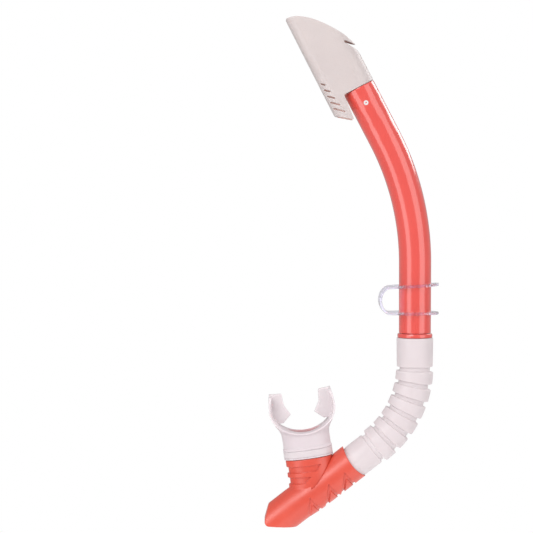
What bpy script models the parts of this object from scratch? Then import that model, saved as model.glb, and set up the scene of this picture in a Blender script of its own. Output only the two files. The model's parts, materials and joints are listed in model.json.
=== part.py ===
"""Semi-dry snorkel: breathing tube, splash guard, corrugated hose, purge housing, mouthpiece and keeper.

Lengths are in millimetres here and are scaled to metres as each mesh is made. +Z is up along the tube's lower
half, the mouthpiece lies towards -X, and Y = 0 is the plane of symmetry. The origin is the middle of the
opening in the keeper that the mask strap goes through.
"""
from math import cos, hypot, pi, radians, sin

import bmesh
import bpy
from mathutils import Vector

MM = 0.001
GAP = 0.3                       # clearance between two pieces that rest against each other
SIDES = 24                      # flats around a round piece

# Main tube: straight, bent towards the face, straight again.
TUBE_X = 20.5
TUBE_FOOT_Z = -27.0
TUBE_RUNS = ((57.3, 0.0), (106.1, 27.5), (46.4, 0.0))       # (length, turn in degrees)
TUBE_LENGTH = sum(length for length, turn in TUBE_RUNS)
TUBE_FOOT_RADIUS = 13.1
TUBE_TOP_RADIUS = 13.5
TUBE_WALL = 2.0

# Splash guard: a hood on the tube's top, with a skirt hanging in front of it.
HOOD_RADIUS = 13.6
HOOD_FRONT = 28.2
HOOD_CORNER = 7.9
HOOD_WALL = 1.8
HOOD_WEB = ((-27.0, -6.0), (-16.5, -13.0), (-15.5, 18.0), (-21.0, 30.0), (-27.0, 30.0))     # stiffening web
HOOD_WEB_THICKNESS = 1.4
HOOD_SKIRT = ((-28.3, -11.7), (-15.9, -21.3), (-13.9, 0.3))
HOOD_REAR = ((14.0, 0.3), (14.0, 22.0), (12.9, 27.1), (10.7, 31.1), (5.9, 38.0), (6.2, 40.0))
HOOD_ROOF = ((15.2, 30.3), (11.2, 38.4), (8.9, 43.5), (3.8, 51.5), (-2.4, 60.0), (-9.1, 67.4), (-16.8, 73.3),
             (-22.3, 75.8), (-27.4, 76.8))
SLOT_COUNT = 5
SLOT_PITCH = 5.6
SLOT_FRONT = (-26.6, 16.8)      # front end of the highest slot
SLOT_RUN = (2.9, -2.7)          # from its front end to its rear end
SLOT_GROWTH = 0.37              # each slot is this much longer than the one above, as a part of the first
SLOT_WIDTH = 1.2

INSERT_RADIUS = 11.1
INSERT_BORE = 9.6
INSERT_FOOT = -22.0
WEIR_TOP = 24.0
PIN_AT = (-1.2, -13.7)
PIN_HEAD_RADIUS = 1.9
PIN_TIP_RADIUS = 1.3

# Adapter collar and the spigots that join the tube to the hose.
FLANGE_RADIUS = 14.4
FLANGE_HEIGHT = 3.3
ADAPTER_BORE = 9.2
UPPER_SPIGOT = 15.0
LOWER_SPIGOT = 18.7
SPIGOT_RADIUS = 11.6

# Corrugated hose, measured along its own middle line from the top.
HOSE_TOP_Z = TUBE_FOOT_Z - GAP - FLANGE_HEIGHT - GAP
HOSE_RUNS = ((23.5, 0.0), (74.8, -52.0), (22.5, 0.0))
HOSE_VISIBLE = sum(length for length, turn in HOSE_RUNS)
CUFF_TOP_RADIUS = 15.1
CUFF_END_RADIUS = 14.7
LOWER_CUFF_RADIUS = 14.0
RIB_COUNT = 6
RIB_PITCH = 12.6
RIB_WIDTH = 8.5
RIB_RADIUS = 15.3
GROOVE_RADIUS = 12.3
HOSE_BORE = 9.6
NECK_RADIUS = 13.6
NECK_LENGTH = 7.0
FERRULE_RADIUS = 11.4
FERRULE_BORE = 9.7

# Lower housing: a barrel in line with the hose's lower end.
SOCKET_RADIUS = 13.9
SOCKET_DEPTH = 9.2
MOUTH_ARC = 40.0                # radius of the arc that the collar's mouth is cut to, seen from the side ...
MOUTH_DIP = 2.9                 # ... and how far it dips into the collar
BARREL_SECTIONS = ((0.0, 0.5, 15.2), (44.0, 0.5, 15.0), (60.0, 1.5, 14.7), (96.0, 1.5, 14.7))
BORE_SECTIONS = ((SOCKET_DEPTH - 1.0, 0.5, 10.9), (50.0, 0.5, 10.9), (62.0, 1.2, 10.9), (68.0, 1.2, 12.5),
                 (92.0, 1.2, 12.5))
FACE_TOP = (-94.3, -147.2)      # the blunt end's face, from above the barrel ...
FACE_FOOT = (-102.8, -180.9)    # ... to where its lower corner begins
FOOT_LEFT = (-99.1, -184.8)     # the flat foot
FOOT_RIGHT = (-20.0, -190.5)
END_WALL = 2.6
FLOOR_HEIGHT = 9.8              # thickness of the floor that holds the purge valve

# Grip chevrons: (across, along) of each apex on the barrel, and the ends of both legs from the apex.
CHEVRONS = ((1.0, 46.3), (0.7, 27.3), (0.4, 11.3))
CHEVRON_LEGS = ((-17.0, 15.8), (-19.0, -1.6))
CHEVRON_WIDTH = 2.6
CHEVRON_FLOOR_RADIUS = 13.9

# Mouthpiece port, on its own axis.
PORT_ORIGIN = (-66.5, -129.5)
PORT_HEADING = 98.0
PORT_SEMI = (19.3, 13.4)
PORT_RECESS_SEMI = (17.8, 11.9)
PORT_DEPTH = 27.0
PORT_SPIGOT_SEMI = (16.8, 9.6)
PORT_SPIGOT_LENGTH = 16.0
PORT_BORE_SEMI = (15.3, 8.1)
PORT_RECESSES = (((-24.0, -5.3), (9.0, -5.4), (4.9, -10.6), (-24.0, -10.6)),
                 ((-24.0, -14.0), (0.2, -14.4), (-6.0, -19.6), (-24.0, -19.6)))

# Purge valve, on an axis square to the housing's foot. Along is outwards.
PURGE_ORIGIN = (-88.6, -185.56)
PURGE_HEADING = -94.1
COUNTERBORE = 8.6
PURGE_RADIUS = COUNTERBORE - GAP
PURGE_THROAT = 6.9
SEAT_FACE = -6.5
SEAT_THICKNESS = 1.4
SEAT_OPENING = 5.6
HUB_RADIUS = 2.4
STEM_RADIUS = 0.8
FLAP_RADIUS = 6.8
FLAP_TRAVEL = 1.5
COVER_PLATE = 1.6
COVER_RING = 7.4

# Mouthpiece, on the port's axis.
NECK_SEMI = (19.6, 12.3)
LIP_SEMI = (20.3, 13.0)
CHANNEL_SEMI = (18.9, 11.6)
LIP_TOP = 8.8
CHANNEL = (1.8, 7.2)
AIRWAY_SEMI = (15.0, 7.8)
AIRWAY_TOP = 28.5
FLANGE_SEMI = (26.3, 20.8)      # middle of the lip flange's wall, as half an ellipse with two arms
FLANGE_CENTRE = 42.0
FLANGE_WALL = 2.1
FLANGE_HALF_HEIGHT = 14.0
ARM_TIP = (24.4, 54.6)
TAB = ((24.9, 55.6), (15.1, 55.0), (14.4, 45.0), (9.8, 37.0), (16.8, 30.8), (21.9, 31.05), (23.3, 33.1),
       (25.0, 36.7), (25.9, 41.0))
TAB_HALF_HEIGHT = 2.4

# Mask-strap keeper: a strip folded into a U, with a hole for the tube in each leg.
KEEPER_STRIP = 2.2
KEEPER_HALF_HEIGHT = 10.6
KEEPER_BEND = 8.1
KEEPER_TIP = (40.0, 13.0)
KEEPER_HOLE = 13.7
KEEPER_HALF_WIDTH = 17.4
KEEPER_BEND_HALF_WIDTH = 10.5

CORAL = (0.88, 0.115, 0.095)
SILICONE = (0.80, 0.74, 0.77)
PALE = (0.74, 0.67, 0.67)
CLEAR = (0.85, 0.84, 0.92)


class Plane:
    """Axes in the plane of symmetry. `along` has the given heading in degrees anticlockwise from +X, `across`
    is a quarter turn clockwise from it, and the third coordinate is Y."""

    def __init__(self, origin, heading):
        self.x, self.z = origin
        self.heading = heading
        self.sin, self.cos = sin(radians(heading)), cos(radians(heading))

    def at(self, across, along, y=0.0):
        x = self.x + across * self.sin + along * self.cos
        z = self.z - across * self.cos + along * self.sin
        return Vector((x, y, z))


def plane_on(start, heading, runs, distance):
    """The plane at a distance along straight and curved runs of (length, turn); it goes straight on at the end."""
    x, z = start
    for length, turn in runs:
        step = min(distance, length)
        if turn:
            bend = radians(turn) / length
            a, b = radians(heading), radians(heading) + bend * step
            x += (sin(b) - sin(a)) / bend
            z += (cos(a) - cos(b)) / bend
            heading += turn * step / length
        else:
            x += step * cos(radians(heading))
            z += step * sin(radians(heading))
        distance -= step
        if distance <= 0.0:
            return Plane((x, z), heading)
    ahead = Plane((x, z), heading).at(0.0, distance)
    return Plane((ahead.x, ahead.z), heading)


def on_tube(distance):
    return plane_on((TUBE_X, TUBE_FOOT_Z), 90.0, TUBE_RUNS, distance)


def on_hose(distance):
    return plane_on((TUBE_X, HOSE_TOP_Z), -90.0, HOSE_RUNS, distance)


UPRIGHT = Plane((0.0, 0.0), 90.0)               # across is X and along is Z
GUARD = on_tube(TUBE_LENGTH)                    # across is rearwards, along is up the tube's top
BARREL = on_hose(HOSE_VISIBLE)                  # across is upwards, along is into the housing
PORT = Plane(PORT_ORIGIN, PORT_HEADING)
PURGE = Plane(PURGE_ORIGIN, PURGE_HEADING)


def material(name, colour, roughness):
    made = bpy.data.materials.new(name)
    made.use_nodes = True
    shader = made.node_tree.nodes["Principled BSDF"]
    shader.inputs["Base Color"].default_value = (*colour, 1.0)
    shader.inputs["Roughness"].default_value = roughness
    shader.inputs["Metallic"].default_value = 0.0
    return made


def add_object(name, bm):
    """Link a closed mesh given in millimetres, with its faces pointing out."""
    bmesh.ops.scale(bm, vec=(MM, MM, MM), verts=bm.verts)
    bmesh.ops.recalc_face_normals(bm, faces=bm.faces)
    mesh = bpy.data.meshes.new(name)
    bm.to_mesh(mesh)
    bm.free()
    mesh.shade_smooth()
    mesh.set_sharp_from_angle(angle=radians(32.0))
    made = bpy.data.objects.new(name, mesh)
    bpy.context.scene.collection.objects.link(made)
    return made


def finish(made, colour, roughness):
    made.data.materials.append(material(made.name + "_finish", colour, roughness))
    return made


def skin(name, rings, closed=False):
    """Join rings of points. A closed skin runs from the last ring to the first; an open one gets two caps."""
    bm = bmesh.new()
    rows = [[bm.verts.new(point) for point in ring] for ring in rings]
    pairs = list(zip(rows, rows[1:]))
    if closed:
        pairs.append((rows[-1], rows[0]))
    for low, high in pairs:
        for i, vert in enumerate(low):
            j = (i + 1) % len(low)
            bm.faces.new((vert, low[j], high[j], high[i]))
    if not closed:
        bm.faces.new(rows[0][::-1])
        bm.faces.new(rows[-1])
    return add_object(name, bm)


def ellipse(plane, semi_across, semi_y, along=0.0, offset=0.0):
    turns = [2.0 * pi * i / SIDES for i in range(SIDES)]
    return [plane.at(offset + semi_across * cos(t), along, semi_y * sin(t)) for t in turns]


def with_steps(profile, longest):
    """The closed profile of (distance, radius) points, with its long sides divided."""
    points = []
    for (a, ra), (b, rb) in zip(profile, profile[1:] + profile[:1]):
        parts = max(1, round(abs(b - a) / longest))
        points += [(a + (b - a) * i / parts, ra + (rb - ra) * i / parts) for i in range(parts)]
    return points


def swept(name, plane_at, profile):
    """A hollow round piece: a closed profile of (distance, radius) carried around a middle line."""
    return skin(name, [ellipse(plane_at(s), r, r) for s, r in profile], closed=True)


def turned(name, plane, profile):
    """A solid round piece from (along, radius) points."""
    return skin(name, [ellipse(plane, r, r, along) for along, r in profile])


def oval(name, plane, levels):
    """A solid oval piece from (along, (semi_across, semi_y)) levels."""
    return skin(name, [ellipse(plane, semi[0], semi[1], along) for along, semi in levels])


def slab(name, plane, outline, half_height, middle=0.0):
    """An outline of (across, along) points, extruded along Y."""
    return skin(name, [[plane.at(a, b, middle + side * half_height) for a, b in outline] for side in (-1, 1)])


def plate(name, plane, outline, low, high):
    """An outline of (across, y) points, extruded along the plane's `along`."""
    return skin(name, [[plane.at(a, along, y) for a, y in outline] for along in (low, high)])


def cross_pin(name, plane, middle, radii, ends):
    """A round pin parallel to Y, from (y, radius) pairs of its ends and shoulders."""
    turns = [2.0 * pi * i / SIDES for i in range(SIDES)]
    a, b = middle
    rings = [[plane.at(a + r * cos(t), b + r * sin(t), y) for t in turns] for y, r in zip(ends, radii)]
    return skin(name, rings)


def combine(target, tool, operation="DIFFERENCE"):
    """Apply a hidden tool to the target with an exact Boolean modifier."""
    tool.hide_render = True
    tool.display_type = "WIRE"
    step = target.modifiers.new(tool.name, "BOOLEAN")
    step.operation = operation
    step.solver = "EXACT"
    step.object = tool
    return target


def arc(centre, semi_a, semi_b, start, end, parts):
    """Points on an ellipse's arc, from one angle to another in degrees."""
    angles = [radians(start + (end - start) * i / parts) for i in range(parts + 1)]
    return [(centre[0] + semi_a * cos(t), centre[1] + semi_b * sin(t)) for t in angles]


def ribbon(points, thickness):
    """The outline of a strip with this middle line."""
    left, right = [], []
    for i, (a, b) in enumerate(points):
        before, after = points[max(i - 1, 0)], points[min(i + 1, len(points) - 1)]
        run = (after[0] - before[0], after[1] - before[1])
        scale = 0.5 * thickness / hypot(*run)
        left.append((a - run[1] * scale, b + run[0] * scale))
        right.append((a + run[1] * scale, b - run[0] * scale))
    return left + right[::-1]


def main_tube():
    profile = [(0.0, TUBE_FOOT_RADIUS), (TUBE_LENGTH, TUBE_TOP_RADIUS),
               (TUBE_LENGTH, TUBE_TOP_RADIUS - TUBE_WALL), (0.0, TUBE_FOOT_RADIUS - TUBE_WALL)]
    tube = swept("main_tube", on_tube, with_steps(profile, 15.0))
    reach = TUBE_TOP_RADIUS + 2.0
    hole_radius = PIN_HEAD_RADIUS + GAP
    combine(tube, cross_pin("tube_pin_hole", GUARD, PIN_AT, (hole_radius, hole_radius), (-reach, reach)))
    finish(tube, CORAL, 0.22)


def hood_section(wall):
    """The hood's section square to the tube: round behind, flat at the sides, with rounded front corners."""
    radius, corner = HOOD_RADIUS - wall, HOOD_CORNER - wall
    straight = HOOD_RADIUS - HOOD_CORNER
    front = HOOD_CORNER - HOOD_FRONT
    points = arc((0.0, 0.0), radius, radius, -90.0, 90.0, 16)
    points += arc((front, straight), corner, corner, 90.0, 180.0, 6)
    points += arc((front, -straight), corner, corner, 180.0, 270.0, 6)
    return points


def splash_guard_shell():
    shell = plate("splash_guard_shell", GUARD, hood_section(0.0), -24.0, 80.0)
    outline = HOOD_SKIRT + HOOD_REAR + HOOD_ROOF
    combine(shell, slab("hood_outline", GUARD, outline, 20.0), "INTERSECT")
    under_roof = [(a - HOOD_WALL * 0.8, b - HOOD_WALL * 0.8) for a, b in HOOD_ROOF[1:-1]]
    hollow = plate("hood_hollow", GUARD, hood_section(HOOD_WALL), -26.0, 82.0)
    space = [(16.0, -30.0), (16.0, 36.0)] + under_roof + [(-32.0, under_roof[-1][1]), (-32.0, -30.0)]
    combine(hollow, slab("hood_space", GUARD, space, 21.0), "INTERSECT")
    combine(shell, hollow)
    for number in range(SLOT_COUNT):
        growth = 1.0 + SLOT_GROWTH * number
        front = (SLOT_FRONT[0], SLOT_FRONT[1] - SLOT_PITCH * number)
        rear = (front[0] + SLOT_RUN[0] * growth, front[1] + SLOT_RUN[1] * growth)
        combine(shell, slab("drain_slot_%d" % number, GUARD, ribbon([front, rear], SLOT_WIDTH), 18.0))
    combine(shell, slab("hood_web", GUARD, HOOD_WEB, 0.5 * HOOD_WEB_THICKNESS), "UNION")
    finish(shell, PALE, 0.35)


def splash_guard_insert():
    profile = [(INSERT_FOOT, INSERT_RADIUS), (WEIR_TOP, INSERT_RADIUS),
               (WEIR_TOP, INSERT_BORE), (INSERT_FOOT, INSERT_BORE)]
    insert = swept("splash_guard_insert", lambda s: on_tube(TUBE_LENGTH + s), profile)
    weir_cut = ((1.0, 3.0), (14.0, 3.0), (14.0, WEIR_TOP + 2.0), (-6.0, WEIR_TOP + 2.0))
    combine(insert, slab("weir_cut", GUARD, weir_cut, 14.0))
    hole_radius = PIN_TIP_RADIUS + GAP
    combine(insert, cross_pin("insert_pin_hole", GUARD, PIN_AT, (hole_radius, hole_radius), (-14.0, 14.0)))
    finish(insert, PALE, 0.35)


def guard_pin(name, side):
    surface = TUBE_TOP_RADIUS + 0.3
    shoulder = TUBE_TOP_RADIUS - TUBE_WALL + 0.1
    ends = [side * y for y in (INSERT_BORE + 0.2, shoulder, shoulder, surface, surface, surface - 0.6)]
    radii = (PIN_TIP_RADIUS, PIN_TIP_RADIUS, PIN_HEAD_RADIUS, PIN_HEAD_RADIUS, 0.8, 0.6)
    finish(cross_pin(name, GUARD, PIN_AT, radii, ends), PALE, 0.3)


def tube_adapter():
    top = -GAP
    foot = top - FLANGE_HEIGHT
    inner = TUBE_FOOT_RADIUS - TUBE_WALL - GAP
    profile = [(UPPER_SPIGOT, inner), (UPPER_SPIGOT, ADAPTER_BORE), (foot - LOWER_SPIGOT, ADAPTER_BORE),
               (foot - LOWER_SPIGOT, SPIGOT_RADIUS), (foot, SPIGOT_RADIUS), (foot, FLANGE_RADIUS - 0.2),
               (foot + 1.2, FLANGE_RADIUS), (top - 0.8, FLANGE_RADIUS - 0.1), (top, FLANGE_RADIUS - 0.6),
               (top, inner)]
    collar = Plane((TUBE_X, TUBE_FOOT_Z), 90.0)
    rings = [ellipse(collar, r, r, s) for s, r in profile]
    finish(skin("tube_adapter", rings, closed=True), CORAL, 0.25)


def flex_hose():
    straight = HOSE_RUNS[0][0]
    outside = [(0.0, CUFF_TOP_RADIUS - 0.5), (0.6, CUFF_TOP_RADIUS), (straight, CUFF_END_RADIUS)]
    for number in range(RIB_COUNT):
        rib = straight + (RIB_PITCH - RIB_WIDTH) + number * RIB_PITCH
        outside += [(rib - 3.4, GROOVE_RADIUS), (rib - 0.6, GROOVE_RADIUS), (rib, RIB_RADIUS - 0.4),
                    (rib + 0.6, RIB_RADIUS), (rib + RIB_WIDTH - 0.6, RIB_RADIUS), (rib + RIB_WIDTH, RIB_RADIUS - 0.4)]
    cuff = straight + RIB_COUNT * RIB_PITCH + RIB_PITCH - RIB_WIDTH
    shoulder = HOSE_VISIBLE - 0.4
    end = HOSE_VISIBLE + NECK_LENGTH
    outside += [(cuff - 3.4, GROOVE_RADIUS), (cuff - 0.6, GROOVE_RADIUS), (cuff, LOWER_CUFF_RADIUS),
                (shoulder, LOWER_CUFF_RADIUS), (shoulder, NECK_RADIUS), (end, NECK_RADIUS)]
    spigot_end = LOWER_SPIGOT + 2.0 * GAP
    ferrule_start = HOSE_VISIBLE - 1.5
    inside = [(end, FERRULE_RADIUS + GAP), (ferrule_start, FERRULE_RADIUS + GAP), (ferrule_start, HOSE_BORE),
              (spigot_end, HOSE_BORE), (spigot_end, SPIGOT_RADIUS + GAP), (0.0, SPIGOT_RADIUS + GAP)]
    finish(swept("flex_hose", on_hose, with_steps(outside + inside, 10.0)), SILICONE, 0.45)


def hose_ferrule():
    start, lip = -1.2, NECK_LENGTH + GAP
    profile = [(start, FERRULE_RADIUS), (start, FERRULE_BORE), (lip + 1.4, FERRULE_BORE),
               (lip + 1.4, NECK_RADIUS), (lip, NECK_RADIUS), (lip, FERRULE_RADIUS)]
    rings = [ellipse(BARREL, r, r, s) for s, r in profile]
    finish(skin("hose_ferrule", rings, closed=True), PALE, 0.35)


def chevron_outline(apex):
    """A chevron's groove on the barrel: two legs from the apex, each CHEVRON_WIDTH wide."""
    lengths = [hypot(*leg) for leg in CHEVRON_LEGS]
    units = [(leg[0] / n, leg[1] / n) for leg, n in zip(CHEVRON_LEGS, lengths)]
    opening = units[0][0] * units[1][1] - units[0][1] * units[1][0]
    step = CHEVRON_WIDTH / abs(opening)
    inner = tuple(apex[i] + step * (units[0][i] + units[1][i]) for i in (0, 1))
    feet = [(apex[0] + leg[0], apex[1] + leg[1]) for leg in CHEVRON_LEGS]
    inner_feet = [(foot[0] + step * other[0], foot[1] + step * other[1]) for foot, other in zip(feet, units[::-1])]
    return [apex, feet[0], inner_feet[0], inner, inner_feet[1], feet[1]]


def barrel_skin(name, sections):
    return skin(name, [ellipse(BARREL, r, r, along, offset) for along, offset, r in sections])


def chamber_body():
    body = barrel_skin("chamber_body", BARREL_SECTIONS)
    corner = arc((FOOT_LEFT[0] - 0.1, FACE_FOOT[1] - 0.2), 3.7, 3.7, 180.0, 268.0, 5)
    end_outline = [FACE_TOP] + corner + [FOOT_RIGHT, (0.0, -100.0)]
    combine(body, slab("end_outline", UPRIGHT, end_outline, 20.0), "INTERSECT")
    port_levels = ((-PORT_DEPTH, PORT_SEMI), (0.0, PORT_SEMI), (0.0, PORT_SPIGOT_SEMI),
                   (PORT_SPIGOT_LENGTH, PORT_SPIGOT_SEMI))
    combine(body, oval("port_wall", PORT, port_levels), "UNION")
    for number, outline in enumerate(PORT_RECESSES):
        recess = slab("port_recess_%d" % number, PORT, outline, 16.0)
        core_levels = ((-PORT_DEPTH - 2.0, PORT_RECESS_SEMI), (2.0, PORT_RECESS_SEMI))
        combine(recess, oval("port_core_%d" % number, PORT, core_levels))
        combine(body, recess)
    for number, apex in enumerate(CHEVRONS):
        groove = slab("chevron_%d" % number, BARREL, chevron_outline(apex), 17.0)
        core = ((-5.0, 0.5, CHEVRON_FLOOR_RADIUS), (75.0, 0.5, CHEVRON_FLOOR_RADIUS))
        combine(groove, barrel_skin("chevron_core_%d" % number, core))
        combine(body, groove)
    mouth = arc((0.5, MOUTH_DIP - MOUTH_ARC), MOUTH_ARC, MOUTH_ARC, 66.0, 114.0, 12)
    combine(body, slab("mouth_arc", BARREL, mouth, 18.0))
    socket = ((-2.0, 0.0, SOCKET_RADIUS), (SOCKET_DEPTH, 0.0, SOCKET_RADIUS))
    combine(body, barrel_skin("hose_socket", socket))
    bore = barrel_skin("barrel_bore", BORE_SECTIONS)
    floor_left, floor_right = PURGE.at(16.0, -FLOOR_HEIGHT), PURGE.at(-70.0, -FLOOR_HEIGHT)
    inner_face = [(FACE_FOOT[0] + END_WALL, FACE_FOOT[1]), (FACE_TOP[0] + END_WALL, FACE_TOP[1])]
    share = (floor_left.z - inner_face[0][1]) / (inner_face[1][1] - inner_face[0][1])
    face_on_floor = inner_face[0][0] + share * (inner_face[1][0] - inner_face[0][0])
    room = [(face_on_floor, floor_left.z), (floor_right.x, floor_right.z), (0.0, -100.0), inner_face[1]]
    combine(bore, slab("bore_room", UPRIGHT, room, 18.0), "INTERSECT")
    combine(body, bore)
    combine(body, oval("port_bore", PORT, ((-28.0, PORT_BORE_SEMI), (20.0, PORT_BORE_SEMI))))
    throat = ((-FLOOR_HEIGHT - 4.0, PURGE_THROAT), (SEAT_FACE - SEAT_THICKNESS - GAP, PURGE_THROAT),
              (SEAT_FACE - SEAT_THICKNESS - GAP, COUNTERBORE), (3.0, COUNTERBORE))
    combine(body, turned("purge_throat", PURGE, throat))
    finish(body, CORAL, 0.4)


def purge_valve_seat():
    rim = [(SEAT_FACE - SEAT_THICKNESS, STEM_RADIUS + GAP), (SEAT_FACE, STEM_RADIUS + GAP),
           (SEAT_FACE, PURGE_RADIUS), (SEAT_FACE - SEAT_THICKNESS, PURGE_RADIUS)]
    seat = skin("purge_valve_seat", [ellipse(PURGE, r, r, s) for s, r in rim], closed=True)
    for number in range(3):
        start = 120.0 * number + 12.0
        sector = arc((0.0, 0.0), SEAT_OPENING, SEAT_OPENING, start, start + 96.0, 8)
        sector += arc((0.0, 0.0), HUB_RADIUS, HUB_RADIUS, start + 84.0, start + 12.0, 4)
        low, high = SEAT_FACE - SEAT_THICKNESS - 1.0, SEAT_FACE + 1.0
        combine(seat, plate("seat_window_%d" % number, PURGE, sector, low, high))
    finish(seat, PALE, 0.4)


def purge_valve_flap():
    face = SEAT_FACE + GAP
    bulb = SEAT_FACE - SEAT_THICKNESS - FLAP_TRAVEL - GAP
    profile = ((bulb - 1.3, 0.6), (bulb - 0.5, 1.5), (bulb, 1.3), (bulb, STEM_RADIUS), (face, STEM_RADIUS),
               (face, FLAP_RADIUS), (face + 0.5, FLAP_RADIUS), (face + 1.0, 3.6), (face + 1.3, 0.8))
    finish(turned("purge_valve_flap", PURGE, profile), SILICONE, 0.5)


def purge_cover():
    foot = SEAT_FACE + GAP
    profile = ((foot, PURGE_RADIUS), (0.0, PURGE_RADIUS))
    cover = turned("purge_cover", PURGE, profile)
    combine(cover, turned("cover_room", PURGE, ((foot - 2.0, COVER_RING), (-COVER_PLATE, COVER_RING))))
    for number in range(3):
        across = 4.2 * (number - 1)
        reach = 4.6 if number == 1 else 3.6
        slot = [(across - 1.0, -reach), (across + 1.0, -reach), (across + 1.0, reach), (across - 1.0, reach)]
        combine(cover, plate("cover_slot_%d" % number, PURGE, slot, -COVER_PLATE - 1.0, 2.0))
    finish(cover, CORAL, 0.4)


def lip_flange_line():
    """The middle line of the lip flange's wall, from the tip of one arm round to the other."""
    bowl = arc((0.0, FLANGE_CENTRE), FLANGE_SEMI[0], FLANGE_SEMI[1], 0.0, -180.0, 26)
    return [ARM_TIP, (25.6, 49.0)] + bowl + [(-25.6, 49.0), (-ARM_TIP[0], ARM_TIP[1])]


def mouthpiece():
    levels = ((GAP, LIP_SEMI), (CHANNEL[0], LIP_SEMI), (CHANNEL[0], CHANNEL_SEMI), (CHANNEL[1], CHANNEL_SEMI),
              (CHANNEL[1], LIP_SEMI), (LIP_TOP, LIP_SEMI), (LIP_TOP + 1.0, NECK_SEMI), (30.0, NECK_SEMI))
    body = oval("mouthpiece", PORT, levels)
    line = lip_flange_line()
    combine(body, slab("lip_flange", PORT, ribbon(line, FLANGE_WALL), FLANGE_HALF_HEIGHT), "UNION")
    inner = ribbon(line, FLANGE_WALL)[len(line):]
    combine(body, slab("mouth_room", PORT, inner[1:-1], FLANGE_HALF_HEIGHT + 4.0))
    for name, side in (("tab_left", -1.0), ("tab_right", 1.0)):
        outline = [(side * a, b) for a, b in TAB]
        combine(body, slab(name, PORT, outline, TAB_HALF_HEIGHT), "UNION")
    combine(body, oval("airway", PORT, ((10.0, AIRWAY_SEMI), (AIRWAY_TOP, AIRWAY_SEMI))))
    sleeve = (PORT_SPIGOT_SEMI[0] + GAP, PORT_SPIGOT_SEMI[1] + GAP)
    combine(body, oval("sleeve", PORT, ((-3.0, sleeve), (PORT_SPIGOT_LENGTH + GAP, sleeve))))
    finish(body, SILICONE, 0.45)


def mouthpiece_tie():
    inner = [semi + GAP for semi in CHANNEL_SEMI]
    outer = [semi + 1.0 for semi in inner]
    low, high = CHANNEL[0] + GAP, CHANNEL[1] - GAP
    rings = [ellipse(PORT, semi[0], semi[1], along) for semi, along in
             ((inner, low), (inner, high), (outer, high), (outer, low))]
    tie = skin("mouthpiece_tie", rings, closed=True)
    head = slab("tie_head", PORT, ((-3.0, low), (3.0, low), (3.0, high), (-3.0, high)), 1.9, outer[1] + 1.4)
    combine(tie, head, "UNION")
    finish(tie, SILICONE, 0.4)


def snorkel_keeper():
    bend = arc((0.0, 0.0), KEEPER_BEND, KEEPER_HALF_HEIGHT, 270.0, 90.0, 14)
    line = [(KEEPER_TIP[0], -KEEPER_HALF_HEIGHT)] + bend + [KEEPER_TIP]
    keeper = slab("snorkel_keeper", UPRIGHT, ribbon(line, KEEPER_STRIP), KEEPER_HALF_WIDTH + 2.0)
    tip = KEEPER_TIP[0] - TUBE_X
    plan = arc((TUBE_X, 0.0), tip, KEEPER_HALF_WIDTH, -90.0, 90.0, 16)
    plan += [(14.0, KEEPER_HALF_WIDTH), (3.0, KEEPER_HALF_WIDTH - 3.2), (-4.0, KEEPER_BEND_HALF_WIDTH),
             (-14.0, KEEPER_BEND_HALF_WIDTH), (-14.0, -KEEPER_BEND_HALF_WIDTH), (-4.0, -KEEPER_BEND_HALF_WIDTH),
             (3.0, 3.2 - KEEPER_HALF_WIDTH), (14.0, -KEEPER_HALF_WIDTH)]
    combine(keeper, plate("keeper_plan", UPRIGHT, plan, -20.0, 20.0), "INTERSECT")
    combine(keeper, turned("keeper_hole", Plane((TUBE_X, 0.0), 90.0), ((-22.0, KEEPER_HOLE), (22.0, KEEPER_HOLE))))
    finish(keeper, CLEAR, 0.1)


def main():
    for old in list(bpy.data.objects):
        bpy.data.objects.remove(old, do_unlink=True)
    main_tube()
    splash_guard_shell()
    splash_guard_insert()
    guard_pin("guard_pin_near", -1.0)
    guard_pin("guard_pin_far", 1.0)
    tube_adapter()
    flex_hose()
    hose_ferrule()
    chamber_body()
    purge_valve_seat()
    purge_valve_flap()
    purge_cover()
    mouthpiece()
    mouthpiece_tie()
    snorkel_keeper()


main()
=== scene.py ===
import json
from math import atan2, cos, degrees, hypot, pi, radians, sin, tan

import bmesh
import bpy
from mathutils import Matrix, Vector


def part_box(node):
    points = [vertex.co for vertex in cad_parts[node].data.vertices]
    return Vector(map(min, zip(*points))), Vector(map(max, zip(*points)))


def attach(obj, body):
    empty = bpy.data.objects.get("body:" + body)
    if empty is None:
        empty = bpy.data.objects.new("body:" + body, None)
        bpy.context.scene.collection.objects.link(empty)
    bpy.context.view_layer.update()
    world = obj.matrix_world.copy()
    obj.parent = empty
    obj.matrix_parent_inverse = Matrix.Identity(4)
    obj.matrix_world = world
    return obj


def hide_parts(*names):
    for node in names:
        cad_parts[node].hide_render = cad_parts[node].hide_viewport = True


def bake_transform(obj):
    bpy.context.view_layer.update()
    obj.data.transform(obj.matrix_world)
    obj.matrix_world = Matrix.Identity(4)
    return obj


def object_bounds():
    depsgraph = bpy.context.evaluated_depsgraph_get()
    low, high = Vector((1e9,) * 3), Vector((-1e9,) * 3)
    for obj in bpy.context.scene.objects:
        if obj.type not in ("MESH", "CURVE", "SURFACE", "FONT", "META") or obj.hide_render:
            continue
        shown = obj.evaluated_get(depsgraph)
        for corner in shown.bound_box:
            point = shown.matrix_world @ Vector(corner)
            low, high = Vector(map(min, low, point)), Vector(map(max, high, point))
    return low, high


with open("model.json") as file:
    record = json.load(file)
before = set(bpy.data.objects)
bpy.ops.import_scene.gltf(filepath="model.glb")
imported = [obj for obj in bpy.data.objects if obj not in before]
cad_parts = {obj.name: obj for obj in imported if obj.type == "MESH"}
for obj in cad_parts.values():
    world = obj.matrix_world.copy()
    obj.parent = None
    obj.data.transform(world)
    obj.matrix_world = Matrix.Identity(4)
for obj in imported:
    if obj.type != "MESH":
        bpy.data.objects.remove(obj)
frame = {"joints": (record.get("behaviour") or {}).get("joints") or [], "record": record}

cad_low, cad_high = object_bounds()

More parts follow.
